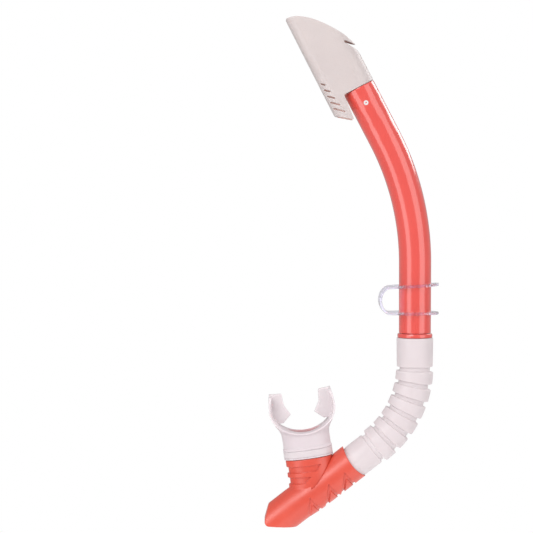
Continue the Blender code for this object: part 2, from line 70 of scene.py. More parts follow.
MM = 0.001
SIDES = 112                     # around a round piece
GAP = 0.3                       # the clearance that the CAD pieces keep

joints = {joint["name"]: joint for joint in frame["joints"]}
mounts = {mount["name"]: mount for mount in frame["record"]["mounts"]}
body_of = {node: body for body, nodes in frame["record"]["behaviour"]["bodies"].items() for node in nodes}


def low(node):
    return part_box(node)[0] / MM


def high(node):
    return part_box(node)[1] / MM


class Plane:
    """Axes in the plane of symmetry. `along` has the given heading in degrees anticlockwise from +X, `across`
    is a quarter turn clockwise from it, and the third coordinate is Y."""

    def __init__(self, origin, heading):
        self.x, self.z = origin
        self.heading = heading
        self.sin, self.cos = sin(radians(heading)), cos(radians(heading))

    def at(self, across, along, y=0.0):
        x = self.x + across * self.sin + along * self.cos
        z = self.z - across * self.cos + along * self.sin
        return Vector((x, y, z))


def plane_on(start, heading, runs, distance):
    """The plane at a distance along runs of (length, turn), straight or curved. It goes straight on at the
    last run's end."""
    x, z = start
    for length, turn in runs:
        step = min(distance, length)
        if turn:
            bend = radians(turn) / length
            a, b = radians(heading), radians(heading) + bend * step
            x += (sin(b) - sin(a)) / bend
            z += (cos(a) - cos(b)) / bend
            heading += turn * step / length
        else:
            x += step * cos(radians(heading))
            z += step * sin(radians(heading))
        distance -= step
        if distance <= 0.0:
            return Plane((x, z), heading)
    ahead = Plane((x, z), heading).at(0.0, distance)
    return Plane((ahead.x, ahead.z), heading)


def joint_plane(joint, origin):
    """The plane whose `along` is a joint's axis."""
    axis = joint["axis"]
    return Plane((origin[0] / MM, origin[2] / MM), degrees(atan2(axis[2], axis[0])))


# Driving places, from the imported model.
TUBE_X = (low("tube_adapter").x + high("tube_adapter").x) / 2
TUBE_FOOT_Z = low("main_tube").z
HOSE_TOP_Z = high("flex_hose").z

TUBE_RUNS = ((57.3, 0.0), (106.1, 27.5), (46.4, 0.0))       # (length, turn in degrees)
TUBE_LENGTH = sum(length for length, turn in TUBE_RUNS)
TUBE_FOOT_RADIUS = 13.1
TUBE_TOP_RADIUS = 13.5
TUBE_WALL = 2.0

HOOD_RADIUS = 13.6
HOOD_FRONT = 28.2
HOOD_CORNER = 7.9
HOOD_WALL = 1.8
HOOD_ENDS = (-24.0, 80.0)       # of the block that the hood is cut from, past its outline
HOOD_WEB = ((-27.0, -6.0), (-16.5, -13.0), (-15.5, 18.0), (-21.0, 30.0), (-27.0, 30.0))
HOOD_WEB_THICKNESS = 1.4
HOOD_SKIRT = ((-28.3, -11.7), (-15.9, -21.3), (-13.9, 0.3))
HOOD_REAR = ((14.0, 0.3), (14.0, 22.0), (12.9, 27.1), (10.7, 31.1), (5.9, 38.0), (6.2, 40.0))
HOOD_ROOF = ((15.2, 30.3), (11.2, 38.4), (8.9, 43.5), (3.8, 51.5), (-2.4, 60.0), (-9.1, 67.4), (-16.8, 73.3),
             (-22.3, 75.8), (-27.4, 76.8))
SLOT_COUNT = 5
SLOT_PITCH = 5.6
SLOT_FRONT = (-26.6, 16.8)      # front end of the highest slot
SLOT_RUN = (2.9, -2.7)          # from its front end to its rear end
SLOT_GROWTH = 0.37              # each slot is this much longer than the one above, as a part of the first
SLOT_WIDTH = 1.2

INSERT_RADIUS = 11.1
INSERT_BORE = 9.6
INSERT_FOOT = -22.0
WEIR_TOP = 24.0
PIN_AT = (-1.2, -13.7)

FLANGE_RADIUS = 14.4
FLANGE_HEIGHT = 3.3
ADAPTER_BORE = 9.2
UPPER_SPIGOT = 15.0
LOWER_SPIGOT = 18.7
SPIGOT_RADIUS = 11.6

HOSE_RUNS = ((23.5, 0.0), (74.8, -52.0), (22.5, 0.0))
HOSE_VISIBLE = sum(length for length, turn in HOSE_RUNS)
CUFF_TOP_RADIUS = 15.1
CUFF_END_RADIUS = 14.7
LOWER_CUFF_RADIUS = 14.0
RIB_COUNT = 6
RIB_PITCH = 12.6
RIB_WIDTH = 8.5
RIB_RADIUS = 15.3
GROOVE_RADIUS = 12.3
HOSE_BORE = 9.6
NECK_RADIUS = 13.6
NECK_LENGTH = 7.0
FERRULE_RADIUS = 11.4
FERRULE_BORE = 9.7

SOCKET_RADIUS = 13.9
SOCKET_DEPTH = 9.2
MOUTH_ARC = 40.0                # radius of the arc that the collar's mouth is cut to, seen from the side ...
MOUTH_DIP = 2.9                 # ... and how far it dips into the collar
BARREL_OFFSET = 0.5             # the barrel's middle lies this far across from the swivel's axis
BARREL_SECTIONS = ((0.0, BARREL_OFFSET, 15.2), (44.0, BARREL_OFFSET, 15.0), (60.0, 1.5, 14.7),
                   (96.0, 1.5, 14.7))                       # (along, offset, radius)
BORE_SECTIONS = ((SOCKET_DEPTH - 1.0, BARREL_OFFSET, 10.9), (50.0, BARREL_OFFSET, 10.9), (62.0, 1.2, 10.9),
                 (68.0, 1.2, 12.5), (92.0, 1.2, 12.5))
FACE_TOP = (-94.3, -147.2)
FACE_FOOT = (-102.8, -180.9)
FOOT_LEFT = (-99.1, -184.8)
FOOT_RIGHT = (-20.0, -190.5)
END_WALL = 2.6
FLOOR_HEIGHT = 9.8

CHEVRONS = ((1.0, 46.3), (0.7, 27.3), (0.4, 11.3))       # (across, along) of each apex on the barrel
CHEVRON_LEGS = ((-17.0, 15.8), (-19.0, -1.6))
CHEVRON_WIDTH = 2.6
CHEVRON_FLOOR_RADIUS = 13.8

PORT_ORIGIN = (-66.5, -129.5)
PORT_HEADING = 98.0
PORT_SEMI = (19.3, 13.4)
PORT_RECESS_SEMI = (17.8, 11.9)
PORT_DEPTH = 27.0
PORT_SPIGOT_SEMI = (16.8, 9.6)
PORT_SPIGOT_LENGTH = 16.0
PORT_BORE_SEMI = (15.3, 8.1)
CREASE_WIDTH = 0.7              # fine groove in the barrel around the port's wall
CREASE_FLOOR_RADIUS = 14.1
CREASE_START = -1.5             # across the port, so that only its rear half has the groove
PORT_RECESSES = (((-24.0, -5.3), (9.0, -5.4), (4.9, -10.6), (-24.0, -10.6)),
                 ((-24.0, -14.0), (0.2, -14.4), (-6.0, -19.6), (-24.0, -19.6)))

COUNTERBORE = 8.6
PURGE_RADIUS = COUNTERBORE - GAP
PURGE_THROAT = 6.9
SEAT_FACE = -6.5
SEAT_THICKNESS = 1.4
SEAT_OPENING = 5.6
SEAT_WINDOWS = 3
HUB_RADIUS = 2.4
STEM_RADIUS = 0.8
FLAP_RADIUS = 6.8
FLAP_TRAVEL = 1.5
COVER_PLATE = 1.6
COVER_RING = 7.4
COVER_SLOT_PITCH = 4.2
COVER_SLOT_REACHES = (3.6, 4.6, 3.6)                        # half lengths
COVER_SLOT_HALF_WIDTH = 1.0

NECK_SEMI = (19.6, 12.3)
LIP_SEMI = (20.3, 13.0)
CHANNEL_SEMI = (18.9, 11.6)
LIP_TOP = 8.8
NECK_FLARE = ((18.5, NECK_SEMI), (22.0, (20.0, 12.5)), (25.0, (21.3, 13.0)), (27.5, (23.0, 13.7)),
              (29.0, (24.0, 13.9)))
CHANNEL = (1.8, 7.2)
AIRWAY_SEMI = (15.0, 7.8)
AIRWAY_TOP = 28.5
FLANGE_SEMI = (26.3, 20.8)
FLANGE_CENTRE = 42.0
FLANGE_WALL = 2.1
RIM_WALL = 1.3                  # thickness of the lip flange at its two rims
THINNING = 2.0 * (FLANGE_WALL - RIM_WALL)                   # twice, as only the inner face moves
FLANGE_HALF_HEIGHT = 14.0
FLANGE_WALLS = ((-18.0, -0.4), (-FLANGE_HALF_HEIGHT, 0.0), (-8.5, 1.0), (8.5, 1.0),
                (FLANGE_HALF_HEIGHT, 0.0), (18.0, -0.4))    # (y, 0 for the rim's thickness to 1 for the full)
ARM_BEND = (25.6, 49.0)
ARM_TIP = (24.4, 54.6)
# Painted light: the mouthpiece's silicone is painted lighter along the port, over its lip flange and arms.
LIFT_START = 25.0               # the mouthpiece's silicone looks lighter from here along the port ...
LIFT_RUN = 8.0                  # ... and fully so after this length
TAB = ((24.9, 55.6), (15.1, 55.0), (14.4, 45.0), (9.8, 37.0), (16.8, 30.8), (21.9, 31.05), (23.3, 33.1),
       (25.0, 36.7), (25.9, 41.0))
TAB_HALF_HEIGHT = 2.4

KEEPER_STRIP = 2.2
KEEPER_HALF_HEIGHT = 10.6
KEEPER_BEND = 8.1
KEEPER_TIP = (40.0, 13.0)
KEEPER_HOLE = 13.7
KEEPER_HALF_WIDTH = 17.4
KEEPER_BEND_HALF_WIDTH = 10.5
KEEPER_SHOULDER = (3.0, KEEPER_HALF_WIDTH - 3.2)

# Lengths of the studio are in metres.
FLOOR_RADIUS = 600.0
FLOOR_DROP = 0.25               # from the snorkel's lowest point
ROOM_LIGHT = 0.48               # from all around, beside the soft boxes
LAMP_DISTANCE = 1.4
LAMPS = (("strip_left", -46.0, 4.0, (0.78, 1.8), 7.5),      # name, azimuth, elevation, size, power in watts
         ("strip_right", 50.0, 4.0, (1.0, 1.8), 8.5),
         ("key_left", -25.0, 28.0, (0.65, 0.75), 6.0),
         ("overhead", -25.0, 72.0, (1.2, 1.2), 3.5),
         ("rim_right", 127.0, 30.0, (0.6, 0.6), 4.4))
CAMERA_DISTANCE = 1.55
CAMERA_ELEVATION = 2.2
CAMERA_TARGET = Vector((-0.1013, 0.0, 0.0275))
VIEW_WIDTH = 0.437              # at the target
SENSOR_WIDTH = 36.0             # millimetres, as Blender takes it


def on_tube(distance):
    return plane_on((TUBE_X, TUBE_FOOT_Z), 90.0, TUBE_RUNS, distance)


def on_hose(distance):
    return plane_on((TUBE_X, HOSE_TOP_Z), -90.0, HOSE_RUNS, distance)


UPRIGHT = Plane((0.0, 0.0), 90.0)               # across is X and along is Z
GUARD = on_tube(TUBE_LENGTH)                    # across is rearwards, along is up the tube's top
BARREL = joint_plane(joints["chamber_swivel"], joints["chamber_swivel"]["pos_m"])
PURGE = joint_plane(joints["purge_lift"], mounts["housing_foot"]["pos_m"])
PORT = Plane(PORT_ORIGIN, PORT_HEADING)


# Meshes

def add_object(name, bm):
    """Link a closed mesh given in millimetres, with its faces pointing out."""
    bmesh.ops.scale(bm, vec=(MM, MM, MM), verts=bm.verts)
    bmesh.ops.recalc_face_normals(bm, faces=bm.faces)
    mesh = bpy.data.meshes.new(name)
    bm.to_mesh(mesh)
    bm.free()
    made = bpy.data.objects.new(name, mesh)
    bpy.context.scene.collection.objects.link(made)
    return made


def skin(name, rings, closed=False):
    """Join rings of points. A closed skin runs from the last ring to the first; an open one gets two caps."""
    bm = bmesh.new()
    rows = [[bm.verts.new(point) for point in ring] for ring in rings]
    pairs = list(zip(rows, rows[1:]))
    if closed:
        pairs.append((rows[-1], rows[0]))
    for lower, upper in pairs:
        for i, vert in enumerate(lower):
            j = (i + 1) % len(lower)
            bm.faces.new((vert, lower[j], upper[j], upper[i]))
    if not closed:
        bm.faces.new(rows[0][::-1])
        bm.faces.new(rows[-1])
    return add_object(name, bm)


def ellipse(plane, semi_across, semi_y, along=0.0, offset=0.0):
    turns = [2.0 * pi * i / SIDES for i in range(SIDES)]
    return [plane.at(offset + semi_across * cos(t), along, semi_y * sin(t)) for t in turns]


def rounded(outline, steps=4):
    """A closed outline of (a, b, radius) corners, with each corner rounded off."""
    points = []
    for i, (a, b, radius) in enumerate(outline):
        before, after = outline[i - 1], outline[(i + 1) % len(outline)]
        to_before = (before[0] - a, before[1] - b)
        to_after = (after[0] - a, after[1] - b)
        length_before, length_after = hypot(*to_before), hypot(*to_after)
        room = 0.45 * min(length_before, length_after)
        cosine = (to_before[0] * to_after[0] + to_before[1] * to_after[1]) / (length_before * length_after)
        half_angle = 0.5 * (pi - abs(atan2((1.0 - min(1.0, cosine * cosine)) ** 0.5, cosine)))
        reach = min(room, radius * tan(half_angle))
        if reach < 1e-4:
            points.append((a, b))
            continue
        start = (a + to_before[0] * reach / length_before, b + to_before[1] * reach / length_before)
        end = (a + to_after[0] * reach / length_after, b + to_after[1] * reach / length_after)
        for k in range(steps + 1):
            t = k / steps
            first, middle, last = (1.0 - t) ** 2, 2.0 * t * (1.0 - t), t * t
            points.append(tuple(first * start[j] + middle * (a, b)[j] + last * end[j] for j in (0, 1)))
    return points


def with_steps(profile, longest):
    """The closed profile of (distance, radius) points, with its long sides divided."""
    points = []
    for (a, ra), (b, rb) in zip(profile, profile[1:] + profile[:1]):
        parts = max(1, round(abs(b - a) / longest))
        points += [(a + (b - a) * i / parts, ra + (rb - ra) * i / parts) for i in range(parts)]
    return points


def swept(name, plane_at, profile):
    """A hollow round piece: a closed profile of (distance, radius) carried around a middle line."""
    return skin(name, [ellipse(plane_at(s), r, r) for s, r in profile], closed=True)


def turned(name, plane, profile):
    """A solid round piece from (along, radius) points."""
    return skin(name, [ellipse(plane, r, r, along) for along, r in profile])


def oval(name, plane, levels):
    """A solid oval piece from (along, (semi_across, semi_y)) levels."""
    return skin(name, [ellipse(plane, semi[0], semi[1], along) for along, semi in levels])


def slab(name, plane, outline, half_height, middle=0.0):
    """An outline of (across, along) points, extruded along Y."""
    return skin(name, [[plane.at(a, b, middle + side * half_height) for a, b in outline] for side in (-1, 1)])


def plate(name, plane, outline, start, end):
    """An outline of (across, y) points, extruded along the plane's `along`."""
    return skin(name, [[plane.at(a, along, y) for a, y in outline] for along in (start, end)])


def arc(centre, semi_a, semi_b, start, end, parts):
    """Points on an ellipse's arc, from one angle to another in degrees."""
    angles = [radians(start + (end - start) * i / parts) for i in range(parts + 1)]
    return [(centre[0] + semi_a * cos(t), centre[1] + semi_b * sin(t)) for t in angles]


def ribbon(points, thickness):
    """The outline of a strip with this middle line."""
    left, right = [], []
    for i, (a, b) in enumerate(points):
        before, after = points[max(i - 1, 0)], points[min(i + 1, len(points) - 1)]
        run = (after[0] - before[0], after[1] - before[1])
        scale = 0.5 * thickness / hypot(*run)
        left.append((a - run[1] * scale, b + run[0] * scale))
        right.append((a + run[1] * scale, b - run[0] * scale))
    return left + right[::-1]


def smooth_line(points, parts=8):
    """A smooth curve through points, as a Catmull-Rom spline."""
    ends = [points[0]] + list(points) + [points[-1]]
    line = []
    for p0, p1, p2, p3 in zip(ends, ends[1:], ends[2:], ends[3:]):
        for k in range(parts):
            t = k / parts
            line.append(tuple(0.5 * (2 * p1[j] + (p2[j] - p0[j]) * t
                                     + (2 * p0[j] - 5 * p1[j] + 4 * p2[j] - p3[j]) * t * t
                                     + (3 * p1[j] - p0[j] - 3 * p2[j] + p3[j]) * t ** 3) for j in (0, 1)))
    return line + [tuple(points[-1])]


def settle(piece):
    """Apply a piece's modifiers and remove the tools that they used."""
    tools = [step.object for step in piece.modifiers if step.type == "BOOLEAN"]
    shape = piece.evaluated_get(bpy.context.evaluated_depsgraph_get())
    mesh = bpy.data.meshes.new_from_object(shape)
    piece.modifiers.clear()
    old = piece.data
    piece.data = mesh
    bpy.data.meshes.remove(old)
    for tool in tools:
        bpy.data.objects.remove(tool)


def combine(target, tool, operation="DIFFERENCE", solver="EXACT"):
    """Cut a tool from the target, or join it on, at once."""
    step = target.modifiers.new("combine", "BOOLEAN")
    step.operation = operation
    step.solver = solver
    step.object = tool
    settle(target)


def melt(piece, voxel, rounds, share=1.0):
    """Round off all edges: an even mesh of this voxel size, smoothed and thinned to a share of its faces."""
    remesh = piece.modifiers.new("even_mesh", "REMESH")
    remesh.mode = "VOXEL"
    remesh.voxel_size = voxel * MM * 1.0
    smooth = piece.modifiers.new("smooth", "SMOOTH")
    smooth.factor = 0.5
    smooth.iterations = rounds
    if share < 1.0:
        thin = piece.modifiers.new("thin", "DECIMATE")
        thin.ratio = share
    settle(piece)


def mark_painted_lift(piece, shares):
    """Record for each vertex how much painted light lifts the silicone's colour there, from 0 to 1."""
    thin = piece.data.attributes.new("thin_wall", "FLOAT", "POINT")
    thin.data.foreach_set("value", [max(0.0, min(1.0, share)) for share in shares])


def finish(piece, node, material, sharp_degrees=40.0):
    """Shade a piece, give it its material, and let it stand for its CAD node."""
    piece.data.shade_smooth()
    piece.data.set_sharp_from_angle(angle=radians(sharp_degrees))
    piece.data.materials.clear()
    piece.data.materials.append(material)
    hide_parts(node)


def ride(piece, node):
    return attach(piece, body_of[node])


# Materials

def new_material(name):
    made = bpy.data.materials.new(name)
    made.use_nodes = True
    tree = made.node_tree
    return made, tree, tree.nodes["Principled BSDF"]


def add_node(tree, kind, **values):
    """Add a node. Each value goes to the input, or else the property, of that name."""
    node = tree.nodes.new(kind)
    for name, value in values.items():
        socket = next((s for s in node.inputs if s.name.replace(" ", "_").lower() == name), None)
        if socket is None:
            setattr(node, name, value)
        else:
            socket.default_value = value
    return node


def noise(tree, coordinates, scale, detail=2.0, stretch=None):
    """Noise in the piece's own space, with features about 1 / scale metres wide."""
    source = coordinates
    if stretch:
        mapping = add_node(tree, "ShaderNodeMapping", scale=stretch)
        tree.links.new(coordinates, mapping.inputs["Vector"])
        source = mapping.outputs["Vector"]
    node = add_node(tree, "ShaderNodeTexNoise", scale=scale, detail=detail, roughness=0.55)
    tree.links.new(source, node.inputs["Vector"])
    return node.outputs["Fac"]


def ranged(tree, value, start, end, to_start, to_end):
    node = add_node(tree, "ShaderNodeMapRange", from_min=start, from_max=end, to_min=to_start, to_max=to_end)
    tree.links.new(value, node.inputs["Value"])
    return node.outputs["Result"]


def blended(tree, share, first, second):
    """A colour mixed from two, each a colour or a socket, by a socket's share."""
    node = add_node(tree, "ShaderNodeMix", data_type="RGBA")
    tree.links.new(share, node.inputs["Factor"])
    for socket, colour in ((node.inputs[6], first), (node.inputs[7], second)):
        if isinstance(colour, tuple):
            socket.default_value = (*colour, 1.0)
        else:
            tree.links.new(colour, socket)
    return node.outputs[2]


def bumped(tree, shader, layers):
    """Stack bumps of (height socket, strength, distance in millimetres) under the shader's normal. A strength
    is a number or a socket."""
    previous = None
    for height, strength, distance in layers:
        bump = add_node(tree, "ShaderNodeBump", distance=distance * MM)
        if isinstance(strength, float):
            bump.inputs["Strength"].default_value = strength
        else:
            tree.links.new(strength, bump.inputs["Strength"])
        tree.links.new(height, bump.inputs["Height"])
        if previous:
            tree.links.new(previous.outputs["Normal"], bump.inputs["Normal"])
        previous = bump
    tree.links.new(previous.outputs["Normal"], shader.inputs["Normal"])
    tree.links.new(previous.outputs["Normal"], shader.inputs["Coat Normal"])


SOCKETS = {"ior": "IOR", "coat_ior": "Coat IOR", "subsurface_weight": "Subsurface Weight",
           "subsurface_radius": "Subsurface Radius", "subsurface_scale": "Subsurface Scale"}


def plastic(name, colour, darker, roughness, coat, ripple, grain, swell=0.0, painted_coral_light=None, **sockets):
    """Moulded plastic: slow colour drift, uneven gloss with faint rub marks, sink ripples and a fine grain.
    The ripples can swell towards the snorkel's top, where the tube is stretched over the splash guard's
    insert. The painted coral light is painted shade and glow on a thin wall's inner sides: a darker, warmer
    colour and a faint emission, which stand in for the coral light that bounces about inside and soaks
    through."""
    made, tree, shader = new_material(name)
    place = add_node(tree, "ShaderNodeTexCoord").outputs["Object"]
    drift = ranged(tree, noise(tree, place, 22.0, 3.0), 0.3, 0.7, 0.0, 1.0)
    speck = ranged(tree, noise(tree, place, 1500.0, 1.0), 0.62, 0.8, 0.0, 0.35)
    body = blended(tree, drift, colour, darker)
    body = blended(tree, speck, body, tuple(0.7 * part for part in darker))
    if painted_coral_light:
        # Painted shade: the inner sides get a darker, warmer colour in place of the coral light that bounces
        # inside.
        inner = inner_side(tree, place)
        body = blended(tree, inner, body, painted_coral_light)
        # Painted glow: the inner sides give off faint coral light, though they are no lamp.
        shader.inputs["Emission Color"].default_value = (1.0, 0.68, 0.61, 1.0)
        tree.links.new(ranged(tree, inner, 0.0, 1.0, 0.0, 0.15), shader.inputs["Emission Strength"])
    tree.links.new(body, shader.inputs["Base Color"])
    rub = noise(tree, place, 90.0, 4.0, stretch=(1.0, 1.0, 0.12))
    tree.links.new(ranged(tree, rub, 0.35, 0.75, roughness[0], roughness[1]), shader.inputs["Roughness"])
    shader.inputs["Coat Weight"].default_value = coat
    shader.inputs["Coat Roughness"].default_value = 0.05
    for socket, value in sockets.items():
        shader.inputs[SOCKETS[socket]].default_value = value
    layers = [(noise(tree, place, 55.0, 1.0), ripple, 0.6), (noise(tree, place, 2200.0, 2.0), grain, 0.05)]
    if swell:
        height = add_node(tree, "ShaderNodeSeparateXYZ")
        tree.links.new(place, height.inputs["Vector"])
        near_top = ranged(tree, height.outputs["Z"], 0.09, 0.15, 0.0, swell)
        layers.append((noise(tree, place, 75.0, 0.5), near_top, 1.6))
    bumped(tree, shader, layers)
    return made


def inner_side(tree, place):
    """1 on faces that stand across Y inside the piece, and 0 on its outer faces."""
    normal = add_node(tree, "ShaderNodeTexCoord").outputs["Normal"]
    product = add_node(tree, "ShaderNodeMath", operation="MULTIPLY")
    facing = add_node(tree, "ShaderNodeMath", operation="ABSOLUTE")
    both = add_node(tree, "ShaderNodeMath", operation="MULTIPLY")
    for source, sockets in ((place, (product.inputs[0],)), (normal, (product.inputs[1], facing.inputs[0]))):
        parts = add_node(tree, "ShaderNodeSeparateXYZ")
        tree.links.new(source, parts.inputs["Vector"])
        for socket in sockets:
            tree.links.new(parts.outputs["Y"], socket)
    tree.links.new(ranged(tree, product.outputs["Value"], 2.0 * MM, 4.0 * MM, 1.0, 0.0), both.inputs[0])
    tree.links.new(ranged(tree, facing.outputs["Value"], 0.5, 0.7, 0.0, 1.0), both.inputs[1])
    return both.outputs["Value"]


def in_oval(tree, place, plane, semi, end):
    """1 inside an oval that runs along a plane's `along`, from its origin to an end, and 0 outside it."""
    mapping = add_node(tree, "ShaderNodeMapping", vector_type="TEXTURE",
                       location=(plane.x * MM, 0.0, plane.z * MM),
                       rotation=(0.0, radians(90.0 - plane.heading), 0.0),
                       scale=(semi[0] * MM, semi[1] * MM, 1.0))
    tree.links.new(place, mapping.inputs["Vector"])
    parts = add_node(tree, "ShaderNodeSeparateXYZ")
    tree.links.new(mapping.outputs["Vector"], parts.inputs["Vector"])
    flat = add_node(tree, "ShaderNodeCombineXYZ")
    tree.links.new(parts.outputs["X"], flat.inputs["X"])
    tree.links.new(parts.outputs["Y"], flat.inputs["Y"])
    length = add_node(tree, "ShaderNodeVectorMath", operation="LENGTH")
    tree.links.new(flat.outputs["Vector"], length.inputs[0])
    inside = ranged(tree, length.outputs["Value"], 0.98, 1.06, 1.0, 0.0)
    below = ranged(tree, parts.outputs["Z"], (end - 1.0) * MM, (end + 1.0) * MM, 1.0, 0.0)
    both = add_node(tree, "ShaderNodeMath", operation="MULTIPLY")
    tree.links.new(inside, both.inputs[0])
    tree.links.new(below, both.inputs[1])
    return both.outputs["Value"]


def silicone(name, colour, darker, roughness, painted_coral_light=None, thin=None):
    """Soft translucent silicone: cloudy colour, a satin face with dust-fine grain, and light inside. The
    painted coral light is (plane, semi_axes, colour) of painted coral-coloured light on the airway's wall,
    which stands in for the light that the coral port gives it from below. The thin colour is a lighter colour
    of painted light on thin walls, where the piece's thin_wall attribute is 1, in place of light soaking
    through."""
    made, tree, shader = new_material(name)
    place = add_node(tree, "ShaderNodeTexCoord").outputs["Object"]
    cloud = ranged(tree, noise(tree, place, 45.0, 4.0), 0.32, 0.72, 0.0, 1.0)
    body = blended(tree, cloud, colour, darker)
    if painted_coral_light:
        # Painted coral light on the airway's wall, in place of the light from the coral port below.
        plane, semi, tint = painted_coral_light
        body = blended(tree, in_oval(tree, place, plane, semi, AIRWAY_TOP - 1.0), body, tint)
    # Painted light: a lighter colour where the thin_wall attribute is high.
    if thin:
        wall = add_node(tree, "ShaderNodeAttribute", attribute_name="thin_wall")
        body = blended(tree, wall.outputs["Fac"], body, thin)
    tree.links.new(body, shader.inputs["Base Color"])
    haze = noise(tree, place, 300.0, 3.0)
    tree.links.new(ranged(tree, haze, 0.3, 0.75, roughness[0], roughness[1]), shader.inputs["Roughness"])
    shader.inputs["Subsurface Weight"].default_value = 0.4
    shader.inputs["Subsurface Radius"].default_value = (1.0, 0.94, 0.92)
    shader.inputs["Subsurface Scale"].default_value = 2.5 * MM
    shader.inputs["IOR"].default_value = 1.42
    shader.inputs["Sheen Weight"].default_value = 0.08
    waves = noise(tree, place, 130.0, 2.0)
    dust = noise(tree, place, 1700.0, 2.0)
    bumped(tree, shader, ((waves, 0.08, 0.4), (dust, 0.12, 0.04)))
    return made


def clear_plastic(name):
    """Clear flexible plastic with a violet tinge, faint flow lines and finger haze."""
    made, tree, shader = new_material(name)
    place = add_node(tree, "ShaderNodeTexCoord").outputs["Object"]
    flow = noise(tree, place, 70.0, 3.0, stretch=(0.3, 1.0, 1.0))
    tinge = ranged(tree, flow, 0.3, 0.7, 0.0, 1.0)
    tree.links.new(blended(tree, tinge, (0.86, 0.82, 1.0), (0.76, 0.69, 0.98)), shader.inputs["Base Color"])
    tree.links.new(ranged(tree, flow, 0.35, 0.7, 0.03, 0.12), shader.inputs["Roughness"])
    shader.inputs["Transmission Weight"].default_value = 1.0
    shader.inputs["Alpha"].default_value = 0.7
    shader.inputs["IOR"].default_value = 1.48
    bumped(tree, shader, ((flow, 0.15, 0.3), (noise(tree, place, 900.0, 2.0), 0.04, 0.03)))
    return made


CORAL_GLOSS = plastic("coral_gloss", (0.76, 0.072, 0.054), (0.72, 0.062, 0.046), (0.24, 0.36), coat=1.0,
                      ripple=0.10, grain=0.04, swell=0.6, coat_ior=1.65)
CORAL_SATIN = plastic("coral_satin", (0.71, 0.086, 0.050), (0.66, 0.072, 0.042), (0.30, 0.40), coat=0.0,
                      ripple=0.06, grain=0.25, ior=1.62)
# The pale satin's inner sides get painted coral shade and glow.
PALE_SATIN = plastic("pale_satin", (0.62, 0.552, 0.54), (0.585, 0.518, 0.51), (0.34, 0.48), coat=0.0,
                     ripple=0.05, grain=0.2, painted_coral_light=(0.62, 0.50, 0.46), subsurface_weight=0.35,
                     subsurface_radius=(1.0, 0.9, 0.85), subsurface_scale=3.0 * MM)
PALE_GLOSS = plastic("pale_gloss", (0.75, 0.72, 0.72), (0.70, 0.66, 0.66), (0.18, 0.28), coat=0.1,
                     ripple=0.04, grain=0.08)
SILICONE = silicone("pale_silicone", (0.70, 0.63, 0.65), (0.67, 0.595, 0.615), (0.36, 0.50))
# The hose's grooves get a painted lighter colour.
HOSE_SILICONE = silicone("hose_silicone", (0.70, 0.63, 0.645), (0.67, 0.595, 0.61), (0.36, 0.50),
                         thin=(0.76, 0.695, 0.71))
# The mouthpiece gets painted coral light on its airway's wall, and a painted lighter colour on its lip flange
# and arms.
MOUTH_SILICONE = silicone("mouth_silicone", (0.69, 0.615, 0.64), (0.66, 0.58, 0.61), (0.36, 0.50),
                          painted_coral_light=(PORT, (AIRWAY_SEMI[0] - 0.8, AIRWAY_SEMI[1] + 0.3), (0.77, 0.50, 0.52)),
                          thin=(0.74, 0.675, 0.695))
CLEAR = clear_plastic("clear_plastic")


# Pieces

def main_tube():
    outline = [(0.0, TUBE_FOOT_RADIUS, 0.5), (TUBE_LENGTH, TUBE_TOP_RADIUS, 0.7),
               (TUBE_LENGTH, TUBE_TOP_RADIUS - TUBE_WALL, 0.5), (0.0, TUBE_FOOT_RADIUS - TUBE_WALL, 0.5)]
    tube = swept("tube", on_tube, with_steps(rounded(outline), 2.5))
    finish(tube, "main_tube", CORAL_GLOSS)
    ride(tube, "main_tube")


def hood_section(wall):
    """The hood's section square to the tube: round behind, flat at the sides, with rounded front corners."""
    radius, corner = HOOD_RADIUS - wall, HOOD_CORNER - wall
    straight = HOOD_RADIUS - HOOD_CORNER
    front = HOOD_CORNER - HOOD_FRONT
    points = arc((0.0, 0.0), radius, radius, -90.0, 90.0, 48)
    points += arc((front, straight), corner, corner, 90.0, 180.0, 20)
    points += arc((front, -straight), corner, corner, 180.0, 270.0, 20)
    return points


def splash_guard_shell():
    foot, top = HOOD_ENDS
    shell = plate("splash_hood", GUARD, hood_section(0.0), foot, top)
    outline = list(HOOD_SKIRT + HOOD_REAR) + smooth_line(HOOD_ROOF)
    combine(shell, slab("hood_outline", GUARD, outline, 20.0), "INTERSECT")
    melt(shell, 0.45, 4)
    drop = HOOD_WALL * 0.8
    under_roof = [(a - drop, b - drop) for a, b in HOOD_ROOF[1:-1]]
    hollow = plate("hood_hollow", GUARD, hood_section(HOOD_WALL), foot - 2.0, top + 2.0)
    space = [(16.0, -30.0), (16.0, 36.0)] + under_roof + [(-32.0, under_roof[-1][1]), (-32.0, -30.0)]
    combine(hollow, slab("hood_space", GUARD, space, 21.0), "INTERSECT")
    combine(shell, hollow)
    for number in range(SLOT_COUNT):
        growth = 1.0 + SLOT_GROWTH * number
        front = (SLOT_FRONT[0], SLOT_FRONT[1] - SLOT_PITCH * number)
        rear = (front[0] + SLOT_RUN[0] * growth, front[1] + SLOT_RUN[1] * growth)
        combine(shell, slab("drain_slot", GUARD, ribbon([front, rear], SLOT_WIDTH), 18.0))
    combine(shell, slab("hood_web", GUARD, HOOD_WEB, 0.5 * HOOD_WEB_THICKNESS), "UNION")
    melt(shell, 0.36, 3, 0.5)
    finish(shell, "splash_guard_shell", PALE_SATIN, 60.0)
    ride(shell, "splash_guard_shell")


def splash_guard_insert():
    outline = [(INSERT_FOOT, INSERT_RADIUS, 0.4), (WEIR_TOP, INSERT_RADIUS, 0.4),
               (WEIR_TOP, INSERT_BORE, 0.4), (INSERT_FOOT, INSERT_BORE, 0.4)]
    insert = swept("splash_insert", lambda s: on_tube(TUBE_LENGTH + s), with_steps(rounded(outline), 3.0))
    weir_cut = ((1.0, 3.0), (14.0, 3.0), (14.0, WEIR_TOP + 2.0), (-6.0, WEIR_TOP + 2.0))
    combine(insert, slab("weir_cut", GUARD, weir_cut, 14.0))
    finish(insert, "splash_guard_insert", PALE_SATIN)
    ride(insert, "splash_guard_insert")


